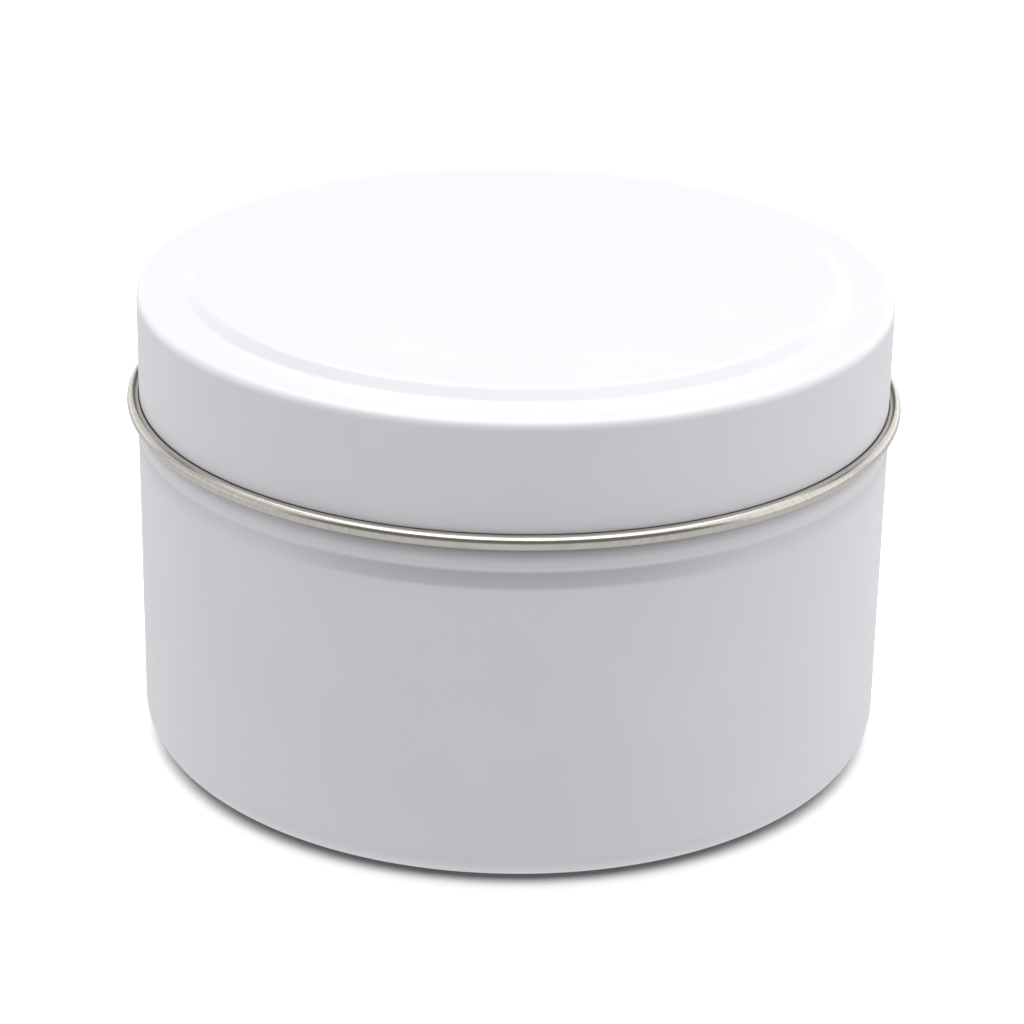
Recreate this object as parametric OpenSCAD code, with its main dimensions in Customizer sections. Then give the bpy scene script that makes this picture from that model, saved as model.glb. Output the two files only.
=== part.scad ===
// Round seamless candle tin with a slip-over lid, made of drawn tinplate sheet.
// Millimetres, +Z up. The origin is the centre of the foot that the tin stands on.
// Each piece is one sheet: its centreline is a run of tangent bends, given its thickness both ways,
// and turned round Z.

/* [Tin] */
// Width of the whole tin, over the lid's rolled bead
overall_d = 80; // [60:0.5:120]
// Height of the whole tin with its lid on, to the top of the lid's raised panel
overall_h = 50; // [40:0.5:90]
// Thickness of the tinplate sheet
sheet = 0.25; // [0.18:0.01:0.32]

/* [Lid] */
// Depth of the lid, from its outer ledge down to the underside of the bead
lid_depth = 12.65; // [10:0.05:18]
// Outer radius of the bend between the lid's top and its skirt
lid_corner_r = 1; // [0.6:0.05:2]
// Outer diameter of the rolled bead's section
bead_roll_d = 1.5; // [1.2:0.05:2]
// Distance from the skirt's outside in to the foot of the raised panel
panel_inset = 4.45; // [3:0.05:6]
// Height of the raised panel above the ledge round it
panel_rise = 1.2; // [0.7:0.05:2]
// Slope of the panel's side, in degrees from level
panel_slope = 45; // [30:1:70]
// Bend radius along the panel's side, to the middle of the sheet
panel_bend_r = 0.8; // [0.4:0.05:1]

/* [Body] */
// How far the band under the bead stands out past the lid's skirt
band_proud = 0.25; // [0.1:0.05:0.5]
// Height of that band, from its lower crease up to the bend of the shoulder
band_h = 1.65; // [1:0.05:3]
// Depth of the crease under the band
crease_depth = 0.04; // [0.02:0.01:0.1]
// Height of the crease
crease_h = 0.12; // [0.06:0.02:0.3]
// How far the wall eases in below the crease
ease_in = 0.06; // [0.02:0.02:0.2]
// Height over which the wall eases in
ease_h = 2.15; // [1:0.05:4]
// Outer radius of the shoulder's bends
shoulder_r = 0.6; // [0.45:0.05:0.8]
// Turn of each shoulder bend, in degrees
shoulder_turn = 70; // [60:1:85]
// Outer diameter of the rolled rim's section
rim_roll_d = 1.2; // [1:0.05:1.5]
// Outer radius of the bend round the foot
base_corner_r = 3.5; // [1.5:0.1:4]
// Least width of the flat ring that the tin stands on, which the foot's bend gives way to
foot_flat = 0.5; // [0.3:0.1:1]
// Height of the stacking recess in the base
recess_rise = 1.2; // [0.7:0.05:2]

/* [Fits] */
// Radial clearance between the rolled rim and the inside of the lid's skirt
lid_clearance = 0.15; // [0.05:0.01:0.3]
// Least height left between the rim's top and the underside of the lid's ledge
rim_gap = 0.3; // [0.1:0.05:1]
// Gap between the bead and the shoulder that it sits on
seat_gap = 0.1; // [0.05:0.01:0.2]
// Radial clearance between the base's recess and the lid panel of a tin below it
stack_clearance = 0.3; // [0.2:0.05:1]
// Gap between a rolled edge's raw end and the wall that it turns back to
roll_gap = 0.08; // [0.06:0.01:0.15]

/* [Hidden] */
$fn = 180;
half = sheet / 2;

// Lid: skirt, bead and top
skirt_r = overall_d / 2 - bead_roll_d + sheet;
skirt_in_r = skirt_r - sheet;
ledge_z = overall_h - panel_rise;
bead_r = bead_roll_d / 2;
bead_x = skirt_in_r + bead_r;
bead_z = ledge_z - lid_depth + bead_r;
panel_foot_r = skirt_r - panel_inset;

// Body: band, wall, neck and rim
band_r = skirt_r + band_proud;
crease_r = band_r - crease_depth;
wall_r = crease_r - ease_in;
shoulder_x = band_r - shoulder_r;
seat_reach = bead_r + shoulder_r + seat_gap;
shoulder_z = bead_z - sqrt(pow(seat_reach, 2) - pow(bead_x - shoulder_x, 2));
crease_z = shoulder_z - band_h;
rim_r = rim_roll_d / 2;
rim_x = skirt_in_r - lid_clearance - rim_r;
rim_z = min(ledge_z - sheet - rim_gap - rim_r, ledge_z - lid_corner_r);
neck_r = rim_x - rim_r + sheet;
recess_foot_r = panel_foot_r + stack_clearance;
foot_bend_r = min(base_corner_r, wall_r - recess_foot_r - foot_flat);

// Middle of a sheet along a bend: points [x, z, nx, nz], where the normal points to the painted face.
// outward is 1 where the painted face is outside the bend, and -1 where it is inside.
function bend(x, z, r, from, to, outward, steps = 12) = [
    for (i = [0:steps])
        let (a = from + (to - from) * i / steps)
        [x + r * cos(a), z + r * sin(a), outward * cos(a), outward * sin(a)]
];

// A pressed step from a level sheet at z_in, down to a level sheet at z_out whose bend ends at x_out
function pressed_step(x_out, z_in, z_out, outward) =
    let (
        r = panel_bend_r,
        drop = z_in - z_out,
        slope_l = (drop - 2 * r * (1 - cos(panel_slope))) / sin(panel_slope),
        run = 2 * r * sin(panel_slope) + slope_l * cos(panel_slope)
    )
    concat(
        bend(x_out - run, z_in - r, r, 90, 90 - panel_slope, outward, 8),
        bend(x_out, z_out + r, r, 270 - panel_slope, 270, -outward, 8)
    );

// Angle at which a roll of radius r has turned back to within roll_gap of the wall that it left
function roll_end(r) = acos((sheet + roll_gap - r) / r);

// Both faces of a sheet, as one closed outline
function faces(middle) = concat(
    [for (p = middle) [p[0] + p[2] * half, p[1] + p[3] * half]],
    [for (i = [len(middle) - 1:-1:0]) let (p = middle[i]) [p[0] - p[2] * half, p[1] - p[3] * half]]
);

// Drawn one-piece body: recessed base, wall, band, shoulder, neck and rolled rim
module tin_body() {
    base_r = foot_bend_r - half;
    bend_r = shoulder_r - half;
    inner_x = neck_r - half + bend_r;
    slope_top = shoulder_z + bend_r * sin(shoulder_turn);
    slope_run = (shoulder_x - inner_x) + 2 * bend_r * cos(shoulder_turn);
    slope_rise = slope_run / tan(shoulder_turn);
    neck_z = slope_top + slope_rise + bend_r * sin(shoulder_turn);
    middle = concat(
        [[0, recess_rise + half, 0, -1]],
        pressed_step(recess_foot_r, recess_rise + half, half, -1),
        bend(wall_r - foot_bend_r, foot_bend_r, base_r, 270, 360, 1),
        [
            [wall_r - half, crease_z - crease_h - ease_h, 1, 0],
            [crease_r - half, crease_z - crease_h, 1, 0],
            [band_r - half, crease_z, 1, 0]
        ],
        bend(shoulder_x, shoulder_z, bend_r, 0, shoulder_turn, 1),
        bend(inner_x, neck_z, bend_r, 180 + shoulder_turn, 180, -1),
        bend(rim_x, rim_z, rim_r - half, 180, -roll_end(rim_r), -1, 24)
    );
    color("whitesmoke") rotate_extrude() polygon(faces(middle));
}

// Drawn one-piece lid: raised panel, ledge, skirt and rolled bead
module lid() {
    corner_r = lid_corner_r - half;
    middle = concat(
        [[0, overall_h - half, 0, 1]],
        pressed_step(panel_foot_r, overall_h - half, ledge_z - half, 1),
        bend(skirt_r - lid_corner_r, ledge_z - lid_corner_r, corner_r, 90, 0, 1),
        bend(bead_x, bead_z, bead_r - half, 180, 360 + roll_end(bead_r), -1, 24)
    );
    color("white") rotate_extrude() polygon(faces(middle));
}

tin_body();
lid();
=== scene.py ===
"""A white enamelled candle tin with a slip-over lid, on a pale studio floor."""

import math

import bpy
from mathutils import Matrix, Vector


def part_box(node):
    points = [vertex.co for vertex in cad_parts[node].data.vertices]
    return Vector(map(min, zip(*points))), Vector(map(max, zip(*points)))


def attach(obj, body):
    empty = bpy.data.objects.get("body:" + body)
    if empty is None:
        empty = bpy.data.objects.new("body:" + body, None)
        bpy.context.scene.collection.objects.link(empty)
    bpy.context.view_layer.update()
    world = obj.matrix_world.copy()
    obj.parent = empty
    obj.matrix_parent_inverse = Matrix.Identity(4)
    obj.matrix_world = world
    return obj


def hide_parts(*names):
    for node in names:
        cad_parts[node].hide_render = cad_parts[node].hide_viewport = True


bl_info = {
    "name": "Candle Tin",
    "version": (1, 0, 0),
    "blender": (4, 5, 0),
    "location": "View3D > Sidebar > Candle Tin",
    "description": "Models a drawn candle tin and its slip-over lid, and sets them on a studio floor",
    "category": "Add Mesh",
}

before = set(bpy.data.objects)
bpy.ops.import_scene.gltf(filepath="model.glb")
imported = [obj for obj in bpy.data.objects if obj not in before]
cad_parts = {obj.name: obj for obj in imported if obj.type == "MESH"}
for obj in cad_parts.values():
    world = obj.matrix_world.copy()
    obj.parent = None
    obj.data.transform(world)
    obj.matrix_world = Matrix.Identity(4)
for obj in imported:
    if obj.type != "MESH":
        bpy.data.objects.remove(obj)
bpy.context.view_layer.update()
LID_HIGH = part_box("lid")[1]
MM = 0.001

BARE_FACE = 1
TURNS = 192
MERGE_DISTANCE = 0.001 * MM
HOLDING_RUN = 0.12 * MM
SMOOTH_ANGLE = math.radians(40)

# How many steps each bend of the sheet is made in
PANEL_STEPS = 8
CORNER_STEPS = 14
SHOULDER_STEPS = 10
RIM_STEPS = 36
BEAD_STEPS = 44

# A height below the tin, for a zone of wear or painted shade that a piece doesn't have
NOWHERE = -MM


# ---------------------------------------------------------------- settings


def length(name, description, default):
    """A size in metres that a user can change."""
    return bpy.props.FloatProperty(
        name=name, description=description, default=default, unit="LENGTH", subtype="DISTANCE", precision=5
    )


def turn(name, description, degrees):
    """An angle that a user can change."""
    return bpy.props.FloatProperty(
        name=name, description=description, default=math.radians(degrees), unit="ROTATION", subtype="ANGLE"
    )


def tint(name, description, default):
    """A colour that a user can change."""
    return bpy.props.FloatVectorProperty(
        name=name, description=description, default=default, size=3, min=0, max=1, subtype="COLOR"
    )


def share(name, description, default):
    """A plain number from 0 to 1 that a user can change."""
    return bpy.props.FloatProperty(
        name=name, description=description, default=default, min=0, max=1, subtype="FACTOR"
    )


class TinSizes(bpy.types.PropertyGroup):
    """Sizes that the body and the lid share or fit to each other."""

    overall_d: length("Width", "Width over the lid's rolled bead", 2 * LID_HIGH.x)
    overall_h: length("Height", "Height with the lid on", LID_HIGH.z)
    sheet: length("Sheet", "Thickness of the tinplate sheet", 0.25 * MM)
    bead_d: length("Bead", "Outer diameter of the lid's rolled bead", 1.5 * MM)
    lid_depth: length("Lid depth", "From the lid's ledge down to the underside of the bead", 12.65 * MM)
    lid_corner: length("Lid corner", "Outer radius of the bend between the lid's top and skirt", 1 * MM)
    panel_inset: length("Panel inset", "From the skirt in to the foot of the raised panel", 4.45 * MM)
    panel_rise: length("Panel rise", "Height of the raised panel above its ledge", 1.2 * MM)
    panel_slope: turn("Panel slope", "Slope of the side of the raised panel", 45)
    panel_bend: length("Panel bend", "Bend radius along the side of the raised panel", 0.8 * MM)
    roll_gap: length("Roll gap", "Gap between a rolled edge's raw end and the wall", 0.08 * MM)
    band_proud: length("Band proud", "How far the band under the bead stands out past the skirt", 0.25 * MM)
    band_h: length("Band height", "Height of that band above its crease", 1.65 * MM)
    crease_depth: length("Crease depth", "Depth of the crease under the band", 0.04 * MM)
    crease_h: length("Crease height", "Height of the crease", 0.12 * MM)
    ease_in: length("Ease", "How far the wall eases in below the crease", 0.06 * MM)
    ease_h: length("Ease height", "Height over which the wall eases in", 2.15 * MM)
    shoulder: length("Shoulder bend", "Outer radius of the shoulder's bends", 0.6 * MM)
    shoulder_turn: turn("Shoulder turn", "Turn of each shoulder bend", 70)
    rim_d: length("Rim", "Outer diameter of the rolled rim", 1.2 * MM)
    rim_gap: length("Rim gap", "Least gap between the rim and the underside of the lid", 0.3 * MM)
    lid_clearance: length("Lid clearance", "Gap between the rim and the inside of the skirt", 0.15 * MM)
    seat_gap: length("Seat gap", "Gap between the bead and the shoulder under it", 0.1 * MM)
    foot_corner: length("Foot corner", "Outer radius of the bend round the foot", 3.5 * MM)
    foot_flat: length("Foot flat", "Least width of the flat ring that the tin stands on", 0.5 * MM)
    recess_rise: length("Recess", "Height of the stacking recess in the base", 1.2 * MM)
    stack_clearance: length("Stack clearance", "Gap round the lid panel of a tin stacked below", 0.3 * MM)


class TinFinish(bpy.types.PropertyGroup):
    """Colours and gloss of the enamel and of the bare tinplate, and the colours of the painted shade on the
    enamel.
    """

    enamel: tint("Enamel", "Colour of the enamel", (0.80, 0.80, 0.84))
    enamel_thin: tint("Clouded enamel", "Second colour of the enamel, in faint clouds", (0.78, 0.78, 0.82))
    enamel_rough: share("Enamel roughness", "Roughness of the enamel", 0.34)
    peel: share("Orange peel", "Strength of the roller texture in the enamel", 0.12)
    # Painted shade: the grey enamel of the ring under the crease.
    ring: tint("Ring", "Colour of the enamel on the ring under the crease", (0.53, 0.53, 0.565))
    # Painted shade: the darker enamel under and above the lid's bead.
    bead_shade: tint("Shaded enamel", "Colour of the enamel where the lid's bead rests", (0.40, 0.40, 0.42))
    # Painted shade: the near-black enamel in the crevice under the bead's raw edge.
    crevice_shade: tint("Seam dirt", "Colour of the dirt where the bead meets the skirt", (0.07, 0.06, 0.05))
    rubbed: tint("Rubbed enamel", "Colour of the flecks where the foot has rubbed", (0.47, 0.46, 0.45))
    tinplate: tint("Lid tinplate", "Colour of the lid's bare tinplate", (0.62, 0.595, 0.545))
    tinplate_dull: tint(
        "Dull lid tinplate", "Colour of the lid's tinplate along its grain lines", (0.52, 0.495, 0.45)
    )
    inside: tint("Body tinplate", "Colour of the body's bare tinplate", (0.80, 0.785, 0.74))
    inside_dull: tint(
        "Dull body tinplate", "Colour of the body's tinplate along its grain lines", (0.69, 0.675, 0.63)
    )
    tinplate_rough: share("Tinplate roughness", "Roughness of the bare tinplate", 0.21)


class TinStudio(bpy.types.PropertyGroup):
    """The camera, the lights and the floor."""

    orbit: length("Distance", "From the camera to the middle of the tin", 348.2 * MM)
    elevation: turn("Elevation", "Height of the camera above the middle of the tin", 23.24)
    tilt: turn("Tilt", "How far the camera looks down", 23.55)
    roll: turn("Roll", "Turn of the camera about its own axis", 1.03)
    lens: bpy.props.FloatProperty(
        name="Lens", description="Focal length", default=116.2, unit="CAMERA", subtype="DISTANCE_CAMERA"
    )
    floor: tint("Floor colour", "Colour of the floor, before the wash", (0.16, 0.16, 0.16))
    floor_reach: length("Floor width", "Width of the floor", 3.0)
    sky: tint("Sky", "Light from above the horizon", (0.19, 0.19, 0.19))
    ground: tint("Ground", "Light from below the horizon", (0.766, 0.766, 0.766))
    wash: bpy.props.FloatProperty(
        name="Floor wash", description="Watts of a lamp that lights only the floor", default=290, min=0
    )


# ---------------------------------------------------------------- shader sums


class Level:
    """One output on its way through a material, so that sums on it read as plain expressions."""

    def __init__(self, finish, socket):
        self.finish = finish
        self.socket = socket

    def math(self, operation, *values):
        return self.finish.node("ShaderNodeMath", {"operation": operation}, dict(enumerate(values)))

    def __add__(self, other):
        return self.math("ADD", self, other)

    def __sub__(self, other):
        return self.math("SUBTRACT", self, other)

    def __rsub__(self, other):
        return self.math("SUBTRACT", other, self)

    def __mul__(self, other):
        return self.math("MULTIPLY", self, other)

    __radd__ = __add__
    __rmul__ = __mul__


class Finish:
    """A material being mixed: it adds nodes and hands back their outputs."""

    def __init__(self, name):
        self.material = bpy.data.materials.new(name)
        self.material.use_nodes = True
        self.tree = self.material.node_tree
        self.shader = self.tree.nodes["Principled BSDF"]

    def node(self, kind, settings=None, sockets=None, output=0):
        """Adds a node, makes its settings, then fills its sockets by name or place."""
        made = self.tree.nodes.new(kind)
        for name, value in (settings or {}).items():
            setattr(made, name, value)
        for name, value in (sockets or {}).items():
            self.fill(made.inputs[name], value)
        return Level(self, made.outputs[output])

    def fill(self, socket, value):
        if isinstance(value, Level):
            self.tree.links.new(value.socket, socket)
        else:
            socket.default_value = value

    def set(self, **sockets):
        """Fills the surface shader's own sockets, named with _ for each space."""
        for name, value in sockets.items():
            self.fill(self.shader.inputs[name.replace("_", " ")], value)

    def place(self):
        """Place on the piece, in metres."""
        return self.node("ShaderNodeTexCoord", output="Object")

    def stretched(self, vector, scale):
        """A place scaled by its own number along each axis."""
        return self.node("ShaderNodeVectorMath", {"operation": "MULTIPLY"}, {0: vector, 1: scale})

    def noise(self, vector, scale, detail=2.0, roughness=0.5):
        return self.node(
            "ShaderNodeTexNoise",
            {"noise_dimensions": "3D"},
            {"Vector": vector, "Scale": scale, "Detail": detail, "Roughness": roughness},
        )

    def ramp(self, value, low, high, start=0.0, end=1.0):
        """A value eased from start to end as it goes from low to high."""
        return self.node(
            "ShaderNodeMapRange",
            {"interpolation_type": "SMOOTHSTEP"},
            {"Value": value, "From Min": low, "From Max": high, "To Min": start, "To Max": end},
        )

    def mix(self, factor, first, second):
        """One colour, going over to another."""
        return self.node(
            "ShaderNodeMix",
            {"data_type": "RGBA"},
            {"Factor": factor, 6: first, 7: second},
            output=2,
        )

    def bump(self, height, strength, distance, normal=None):
        sockets = {"Height": height, "Strength": strength, "Distance": distance}
        if normal:
            sockets["Normal"] = normal
        return self.node("ShaderNodeBump", sockets=sockets)


# ---------------------------------------------------------------- materials


def opaque(colour):
    return (*colour, 1.0)


def enamel_finish(name, look, rub, ring, bead_shade_zone, seam):
    """White enamel. Each of the three zones is given as its lowest and its highest height.

    The enamel is rubbed through in flecks in the first.
    The second is painted shade: the enamel is greyer there, most of all towards -Y.
    The third is painted shade by the lid's bead: the enamel gets darker and darker up it, and more so towards
    -Y.
    Below seam, a near-black painted shade fills the crevice where the bead's raw edge meets the skirt.
    """
    (rub_low, rub_high), (ring_low, ring_high), (bead_shade_low, bead_shade_high) = rub, ring, bead_shade_zone
    ring_fade, seam_fade = 0.45 * MM, 0.06 * MM
    finish = Finish(name)
    place = finish.place()
    depth, height = (finish.node("ShaderNodeSeparateXYZ", sockets={0: place}, output=axis) for axis in (1, 2))
    cloud = finish.noise(place, 70.0, 3.0)
    peel = finish.noise(place, 1100.0, 2.0)
    dust = finish.noise(place, 5200.0, 1.0)
    flecks = finish.noise(finish.stretched(place, (900.0, 900.0, 2600.0)), 1.0, 4.0, 0.65)
    zone = finish.ramp(height, rub_low, rub_low + 0.1 * MM)
    zone = zone * finish.ramp(height, rub_high, rub_high + 0.15 * MM, 1, 0)
    rubbed = zone * finish.ramp(flecks, 0.58, 0.66)
    # Weight of the painted shade towards the front, -Y: whole at Y = -39.5 mm, none from Y = -30.5 mm.
    front_shade_weight = finish.ramp(depth, -39.5 * MM, -30.5 * MM, 1, 0)
    # Painted shade on the ring under the crease: one part on the front, one part all round.
    ring_shade_mask = front_shade_weight * 0.6 * finish.ramp(height, ring_low, ring_low + ring_fade)
    ring_shade_mask = ring_shade_mask + 0.36 * finish.ramp(height, ring_low - 0.8 * MM, ring_high)
    ring_shade_mask = ring_shade_mask * finish.ramp(height, ring_high - ring_fade, ring_high + 0.05 * MM, 1, 0)
    # Painted shade by the lid's bead: darker up to the top of the zone, fading out over 1 mm above it, and
    # more on the front.
    bead_shade = finish.ramp(height, bead_shade_low, bead_shade_high)
    bead_shade = bead_shade * finish.ramp(height, bead_shade_high, bead_shade_high + MM, 1, 0)
    bead_shade = bead_shade * (front_shade_weight * 0.35 + 0.65)
    # Painted shade in the crevice: near black on all enamel below seam.
    crevice_shaded = finish.ramp(height, seam - seam_fade, seam + seam_fade, 1, 0)
    coat = finish.mix(finish.ramp(cloud, 0.3, 0.7), opaque(look.enamel), opaque(look.enamel_thin))
    coat = finish.mix(ring_shade_mask, coat, opaque(look.ring))
    coat = finish.mix(bead_shade, coat, opaque(look.bead_shade))
    coat = finish.mix(crevice_shaded, coat, opaque(look.crevice_shade))
    finish.set(
        Base_Color=finish.mix(rubbed, coat, opaque(look.rubbed)),
        Roughness=look.enamel_rough + (cloud - 0.5) * 0.08 + rubbed * 0.15,
        Normal=finish.bump(peel + dust * 0.3, look.peel, 0.03 * MM),
    )
    finish.set(IOR=1.5)
    return finish.material


def tinplate_finish(name, bright, dull, rough):
    """Bare bright tinplate: rolling grain one way across the sheet, and faint rings from the drawing die."""
    finish = Finish(name)
    place = finish.place()
    x, y, height = (
        finish.node("ShaderNodeSeparateXYZ", sockets={0: place}, output=axis) for axis in range(3)
    )
    radius = finish.node("ShaderNodeMath", {"operation": "SQRT"}, {0: x * x + y * y})
    section = finish.node(
        "ShaderNodeCombineXYZ", sockets={"X": radius * 6000.0, "Y": height * 6000.0, "Z": 0.0}
    )
    rings = finish.noise(section, 1.0, 2.0)
    grain = finish.noise(finish.stretched(place, (60.0, 4500.0, 400.0)), 1.0, 3.0, 0.6)
    stain = finish.noise(place, 160.0, 3.0)
    lines = finish.ramp(grain, 0.35, 0.75)
    finish.set(
        Base_Color=finish.mix(lines * 0.6 + stain * 0.25, opaque(bright), opaque(dull)),
        Roughness=rough + (stain - 0.5) * 0.1 + lines * 0.05,
        Normal=finish.bump(rings + grain * 0.5, 0.12, 0.01 * MM),
    )
    finish.set(Metallic=1.0)
    return finish.material


def floor_finish(name, colour):
    """Matt grey studio board, which a lamp of its own makes white."""
    finish = Finish(name)
    place = finish.place()
    fibre = finish.noise(place, 400.0, 4.0)
    finish.set(
        Base_Color=opaque(colour),
        Roughness=finish.ramp(fibre, 0.3, 0.7, 0.85, 0.95),
        Normal=finish.bump(fibre, 0.02, 0.1 * MM),
    )
    return finish.material


# ---------------------------------------------------------------- bending sheet


def deselect_all():
    if bpy.context.object and bpy.context.object.mode != "OBJECT":
        bpy.ops.object.mode_set(mode="OBJECT")
    bpy.ops.object.select_all(action="DESELECT")


class SheetLine:
    """The middle of a sheet as it is bent to shape: one vertex is the pen, in the plane of X and Z.

    The pen starts by heading outwards along X.
    A bend to the left is anticlockwise, with X to the right and Z up.
    """

    def __init__(self, name, x, z):
        deselect_all()
        bpy.ops.mesh.primitive_plane_add(size=MM)
        self.piece = bpy.context.object
        self.piece.name = name
        self.piece.data.name = name
        bpy.ops.object.mode_set(mode="EDIT")
        bpy.ops.mesh.select_all(action="SELECT")
        bpy.ops.mesh.merge(type="CENTER")
        bpy.ops.transform.translate(value=(x, 0, z))
        self.x = x
        self.z = z
        self.heading = 0.0

    def step(self, distance):
        dx, dz = distance * math.cos(self.heading), distance * math.sin(self.heading)
        bpy.ops.mesh.extrude_region_move(TRANSFORM_OT_translate={"value": (dx, 0, dz)})
        self.x += dx
        self.z += dz

    def run(self, distance):
        """A straight run. A long one gets a holding ring near each end, so that it shades flat."""
        if distance > 4 * HOLDING_RUN:
            self.step(HOLDING_RUN)
            self.step(distance - 2 * HOLDING_RUN)
            self.step(HOLDING_RUN)
        else:
            self.step(distance)

    def run_to_x(self, x):
        self.run((x - self.x) / math.cos(self.heading))

    def run_to_z(self, z):
        self.run((z - self.z) / math.sin(self.heading))

    def run_to(self, x, z):
        self.heading = math.atan2(z - self.z, x - self.x)
        self.run(math.hypot(x - self.x, z - self.z))

    def bend(self, radius, angle, steps):
        """A bend of that radius. A positive angle turns left and a negative one right."""
        side = math.copysign(math.pi / 2, angle)
        cx = self.x + radius * math.cos(self.heading + side)
        cz = self.z + radius * math.sin(self.heading + side)
        bpy.ops.mesh.spin(steps=steps, angle=angle, center=(cx, 0, cz), axis=(0, 1, 0))
        self.heading += angle
        self.x = cx + radius * math.cos(self.heading - side)
        self.z = cz + radius * math.sin(self.heading - side)

    def step_down(self, x_out, z_out, slope, radius):
        """A pressed step, down to a level sheet at z_out, whose lower bend ends at x_out."""
        drop = self.z - z_out
        slope_run = (drop - 2 * radius * (1 - math.cos(slope))) / math.sin(slope)
        self.run_to_x(x_out - 2 * radius * math.sin(slope) - slope_run * math.cos(slope))
        self.bend(radius, -slope, PANEL_STEPS)
        self.run(slope_run)
        self.bend(radius, slope, PANEL_STEPS)

    def spin(self, sheet, enamel, bare, up_is_painted):
        """Turns the line into a round sheet, gives it its thickness, and paints its outer face."""
        bpy.ops.mesh.select_all(action="SELECT")
        bpy.ops.mesh.spin(steps=TURNS, angle=math.tau, center=(0, 0, 0), axis=(0, 0, 1), use_auto_merge=True)
        bpy.ops.mesh.select_all(action="SELECT")
        bpy.ops.mesh.remove_doubles(threshold=MERGE_DISTANCE)
        bpy.ops.mesh.normals_make_consistent(inside=False)
        bpy.ops.object.mode_set(mode="OBJECT")
        middle = min(self.piece.data.polygons, key=lambda face: face.center.to_2d().length)
        if (middle.normal.z > 0) != up_is_painted:
            bpy.ops.object.mode_set(mode="EDIT")
            bpy.ops.mesh.select_all(action="SELECT")
            bpy.ops.mesh.flip_normals()
            bpy.ops.object.mode_set(mode="OBJECT")
        self.piece.data.materials.append(enamel)
        self.piece.data.materials.append(bare)
        wall = self.piece.modifiers.new("Sheet", "SOLIDIFY")
        wall.thickness = sheet
        wall.offset = 0
        wall.use_even_offset = True
        wall.material_offset = BARE_FACE
        wall.material_offset_rim = BARE_FACE
        bpy.ops.object.modifier_apply(modifier=wall.name)
        bpy.ops.object.shade_smooth_by_angle(angle=SMOOTH_ANGLE)
        return self.piece


def roll_turn(radius, size):
    """Turn of a rolled edge that ends roll_gap short of the wall that it left."""
    return math.pi + math.acos((size.sheet + size.roll_gap - radius) / radius)


def shared_sizes(size):
    """Places, in metres, that the lid and the body both need."""
    skirt_out = size.overall_d / 2 - size.bead_d + size.sheet
    ledge_z = size.overall_h - size.panel_rise
    return {
        "skirt_out": skirt_out,
        "skirt_in": skirt_out - size.sheet,
        "ledge_z": ledge_z,
        "bead_z": ledge_z - size.lid_depth + size.bead_d / 2,
        "panel_foot": skirt_out - size.panel_inset,
    }


class CANDLETIN_OT_body(bpy.types.Operator):
    """Bend the body: stacking recess, foot, wall, band, shoulder, neck and rolled rim"""

    bl_idname = "candle_tin.body"
    bl_label = "Tin Body"

    def execute(self, context):
        size, look = context.scene.candle_tin_sizes, context.scene.candle_tin_finish
        fit = shared_sizes(size)
        half = size.sheet / 2
        bend = size.shoulder - half
        band = fit["skirt_out"] + size.band_proud
        crease = band - size.crease_depth
        wall = crease - size.ease_in
        recess_foot = fit["panel_foot"] + size.stack_clearance
        foot_bend = min(size.foot_corner, wall - recess_foot - size.foot_flat)
        bead_x = fit["skirt_in"] + size.bead_d / 2
        shoulder_x = band - size.shoulder
        seat_reach = size.bead_d / 2 + size.shoulder + size.seat_gap
        shoulder_z = fit["bead_z"] - math.sqrt(seat_reach**2 - (bead_x - shoulder_x) ** 2)
        crease_z = shoulder_z - size.band_h
        rim = size.rim_d / 2
        neck_middle = fit["skirt_in"] - size.lid_clearance - size.rim_d + half
        rim_z = fit["ledge_z"] - max(size.sheet + size.rim_gap + rim, size.lid_corner)

        line = SheetLine("tin_body_sheet", 0, size.recess_rise + half)
        line.step_down(recess_foot, half, size.panel_slope, size.panel_bend)
        line.run_to_x(wall - foot_bend)
        line.bend(foot_bend - half, math.pi / 2, CORNER_STEPS)
        line.run_to_z(crease_z - size.crease_h - size.ease_h)
        line.run_to(crease - half, crease_z - size.crease_h)
        line.run_to(band - half, crease_z)
        line.run_to(band - half, shoulder_z)
        line.bend(bend, size.shoulder_turn, SHOULDER_STEPS)
        line.run_to_x(neck_middle + bend * (1 - math.cos(size.shoulder_turn)))
        line.bend(bend, -size.shoulder_turn, SHOULDER_STEPS)
        line.run_to_z(rim_z)
        line.bend(rim - half, -roll_turn(rim, size), RIM_STEPS)

        ease_foot = crease_z - size.crease_h - size.ease_h
        # The body's enamel gets painted shade on the ring under the crease and on the band under the lid's
        # bead.
        enamel = enamel_finish(
            "body enamel",
            look,
            rub=(0, 0.25 * MM),
            ring=(ease_foot - 0.05 * MM, crease_z - size.crease_h),
            bead_shade_zone=(shoulder_z - 1.2 * MM, shoulder_z + 0.3 * MM),
            seam=NOWHERE,
        )
        tinplate = tinplate_finish("body tinplate", look.inside, look.inside_dull, look.tinplate_rough)
        piece = line.spin(size.sheet, enamel, tinplate, up_is_painted=False)
        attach(piece, "tin")
        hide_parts("tin_body")
        return {"FINISHED"}


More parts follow.
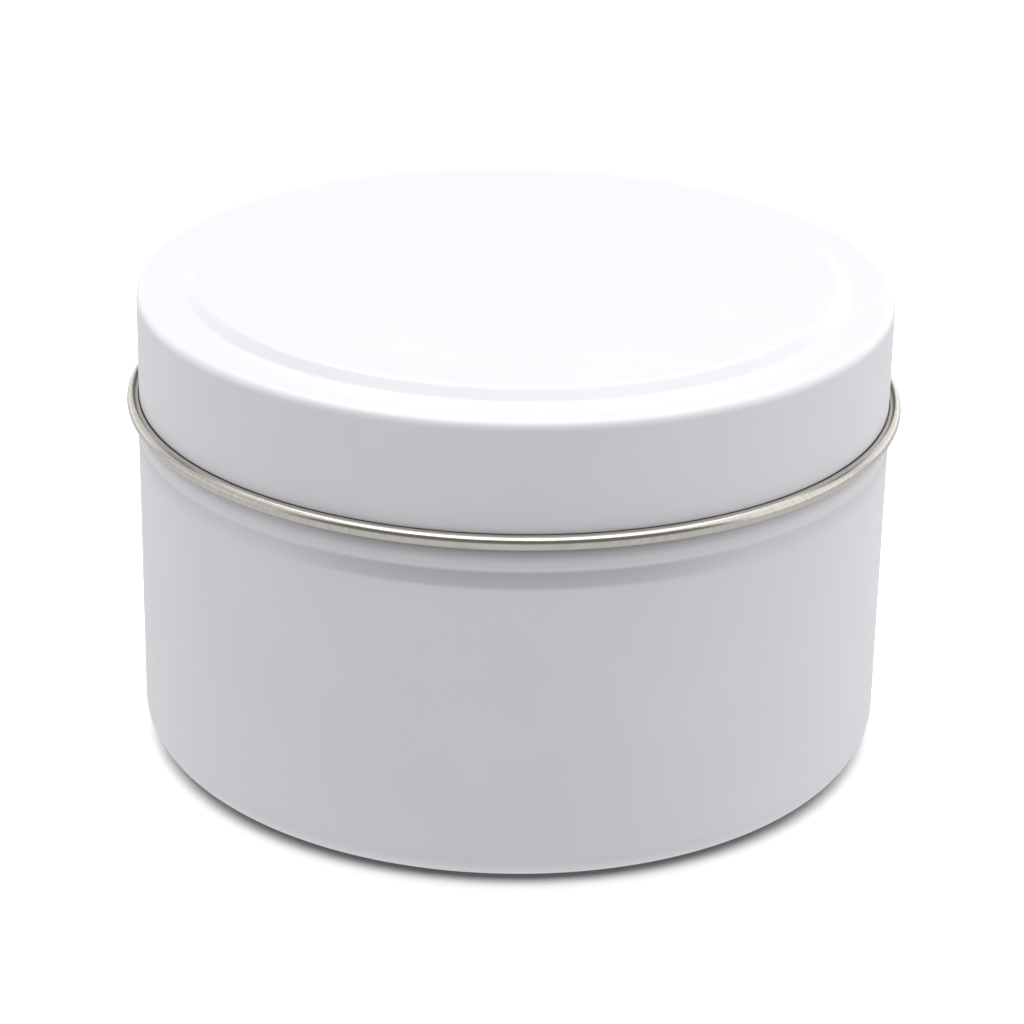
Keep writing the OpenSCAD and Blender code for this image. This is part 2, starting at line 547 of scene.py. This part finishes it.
class CANDLETIN_OT_lid(bpy.types.Operator):
    """Bend the lid: raised panel, ledge, skirt and rolled bead"""

    bl_idname = "candle_tin.lid"
    bl_label = "Tin Lid"

    def execute(self, context):
        size, look = context.scene.candle_tin_sizes, context.scene.candle_tin_finish
        fit = shared_sizes(size)
        half = size.sheet / 2
        bead = size.bead_d / 2

        line = SheetLine("lid_sheet", 0, size.overall_h - half)
        line.step_down(fit["panel_foot"], fit["ledge_z"] - half, size.panel_slope, size.panel_bend)
        line.run_to_x(fit["skirt_out"] - size.lid_corner)
        line.bend(size.lid_corner - half, -math.pi / 2, CORNER_STEPS)
        line.run_to_z(fit["bead_z"])
        line.bend(bead - half, roll_turn(bead, size), BEAD_STEPS)

        # The lid's enamel gets painted shade on the skirt just above its bead, and in the crevice under the
        # bead's raw edge.
        enamel = enamel_finish(
            "lid enamel",
            look,
            rub=(NOWHERE, NOWHERE),
            ring=(NOWHERE, NOWHERE),
            bead_shade_zone=(fit["bead_z"] - bead, fit["bead_z"] + 0.1 * MM),
            seam=fit["bead_z"] + 0.7 * MM,
        )
        tinplate = tinplate_finish("lid tinplate", look.tinplate, look.tinplate_dull, look.tinplate_rough)
        piece = line.spin(size.sheet, enamel, tinplate, up_is_painted=True)
        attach(piece, "lid")
        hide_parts("lid")
        return {"FINISHED"}


# ---------------------------------------------------------------- studio

# Name, degrees round from the camera's side and positive to the right, degrees up, and then
# distance, width and height in metres, and watts
LIGHTS = [
    ("overhead", 180, 84, 1.0, 1.20, 1.30, 9.00),
    ("overhead wide", 180, 86, 1.0, 2.00, 1.20, 4.89),
    ("front strip", 0, 66, 1.0, 0.60, 0.30, 0.58),
    ("front upper strip", 0, 78, 1.0, 1.60, 0.30, 0.49),
    ("left", -90, 25, 1.0, 0.90, 0.90, 1.50),
    ("right", 90, 25, 1.0, 0.90, 0.90, 2.60),
    ("back left", -140, 15, 1.2, 0.90, 0.70, 1.50),
    ("back right", 140, 15, 1.2, 0.90, 0.70, 2.00),
]
WASH = ("floor wash", 180, 82, 1.0, 2.40, 2.40)

# Sine of the angle from the horizon at which the room's lower light ends, and its upper light is whole
HORIZON_LOW = -0.05
HORIZON_HIGH = 0.25


def aim(origin, target):
    """Turn of a lamp or a camera at origin that looks at target."""
    return (target - origin).to_track_quat("-Z", "Y").to_euler()


def add_light(name, around, up, distance, width, height, watts, target):
    around, up = math.radians(around), math.radians(up)
    away = Vector((math.sin(around) * math.cos(up), -math.cos(around) * math.cos(up), math.sin(up)))
    spot = target + away * distance
    bpy.ops.object.light_add(type="AREA", location=spot, rotation=aim(spot, target))
    lamp = bpy.context.object
    lamp.name = name
    lamp.data.shape = "RECTANGLE"
    lamp.data.size = width
    lamp.data.size_y = height
    lamp.data.energy = watts
    return lamp


def light_world(sky, ground):
    """A plain room: one light level from above and one from below."""
    world = bpy.data.worlds.new("Room")
    world.use_nodes = True
    bpy.context.scene.world = world
    tree = world.node_tree
    towards = tree.nodes.new("ShaderNodeTexCoord")
    parts = tree.nodes.new("ShaderNodeSeparateXYZ")
    rise = tree.nodes.new("ShaderNodeMapRange")
    rise.interpolation_type = "SMOOTHSTEP"
    rise.inputs["From Min"].default_value = HORIZON_LOW
    rise.inputs["From Max"].default_value = HORIZON_HIGH
    blend = tree.nodes.new("ShaderNodeMix")
    blend.data_type = "RGBA"
    blend.inputs[6].default_value = opaque(ground)
    blend.inputs[7].default_value = opaque(sky)
    tree.links.new(towards.outputs["Generated"], parts.inputs[0])
    tree.links.new(parts.outputs["Z"], rise.inputs["Value"])
    tree.links.new(rise.outputs[0], blend.inputs["Factor"])
    tree.links.new(blend.outputs[2], tree.nodes["Background"].inputs["Color"])


class CANDLETIN_OT_stage(bpy.types.Operator):
    """Set the floor, the lights and the camera"""

    bl_idname = "candle_tin.stage"
    bl_label = "Studio"

    def execute(self, context):
        studio = context.scene.candle_tin_studio
        middle = Vector((0, 0, context.scene.candle_tin_sizes.overall_h / 2))
        deselect_all()
        bpy.ops.mesh.primitive_grid_add(x_subdivisions=8, y_subdivisions=8, size=studio.floor_reach)
        floor = context.object
        floor.name = "studio_floor"
        floor.data.materials.append(floor_finish("studio board", studio.floor))
        floor.visible_diffuse = False
        floor.visible_glossy = False
        floor.visible_shadow = False
        for row in LIGHTS:
            add_light(*row, target=middle)
        only_floor = bpy.data.collections.new("Lit by the wash")
        only_floor.objects.link(floor)
        wash = add_light(*WASH, watts=studio.wash, target=middle)
        wash.light_linking.receiver_collection = only_floor
        light_world(studio.sky, studio.ground)

        reach = studio.orbit * math.cos(studio.elevation)
        place = middle + Vector((0, -reach, studio.orbit * math.sin(studio.elevation)))
        look = Matrix.Rotation(math.pi / 2 - studio.tilt, 4, "X") @ Matrix.Rotation(studio.roll, 4, "Z")
        bpy.ops.object.camera_add(location=place, rotation=look.to_euler())
        camera = context.object
        camera.data.lens = studio.lens
        camera.data.clip_start = MM
        context.scene.camera = camera
        context.scene.view_settings.view_transform = "Standard"
        return {"FINISHED"}


# ---------------------------------------------------------------- add-on


class CANDLETIN_PT_panel(bpy.types.Panel):
    """Lists the pieces of the candle tin and their settings"""

    bl_idname = "CANDLETIN_PT_panel"
    bl_label = "Candle Tin"
    bl_space_type = "VIEW_3D"
    bl_region_type = "UI"
    bl_category = "Candle Tin"

    def draw(self, context):
        for operator in OPERATORS:
            self.layout.operator(operator.bl_idname)
        scene = context.scene
        for group in (scene.candle_tin_sizes, scene.candle_tin_finish, scene.candle_tin_studio):
            box = self.layout.box()
            for name in group.bl_rna.properties.keys():
                if name not in ("rna_type", "name"):
                    box.prop(group, name)


OPERATORS = (CANDLETIN_OT_body, CANDLETIN_OT_lid, CANDLETIN_OT_stage)
CLASSES = (TinSizes, TinFinish, TinStudio, *OPERATORS, CANDLETIN_PT_panel)


def register():
    for cls in CLASSES:
        bpy.utils.register_class(cls)
    bpy.types.Scene.candle_tin_sizes = bpy.props.PointerProperty(type=TinSizes)
    bpy.types.Scene.candle_tin_finish = bpy.props.PointerProperty(type=TinFinish)
    bpy.types.Scene.candle_tin_studio = bpy.props.PointerProperty(type=TinStudio)


def unregister():
    del bpy.types.Scene.candle_tin_studio
    del bpy.types.Scene.candle_tin_finish
    del bpy.types.Scene.candle_tin_sizes
    for cls in reversed(CLASSES):
        bpy.utils.unregister_class(cls)


def main():
    register()
    bpy.ops.candle_tin.body()
    bpy.ops.candle_tin.lid()
    bpy.ops.candle_tin.stage()


if __name__ == "__main__":
    main()
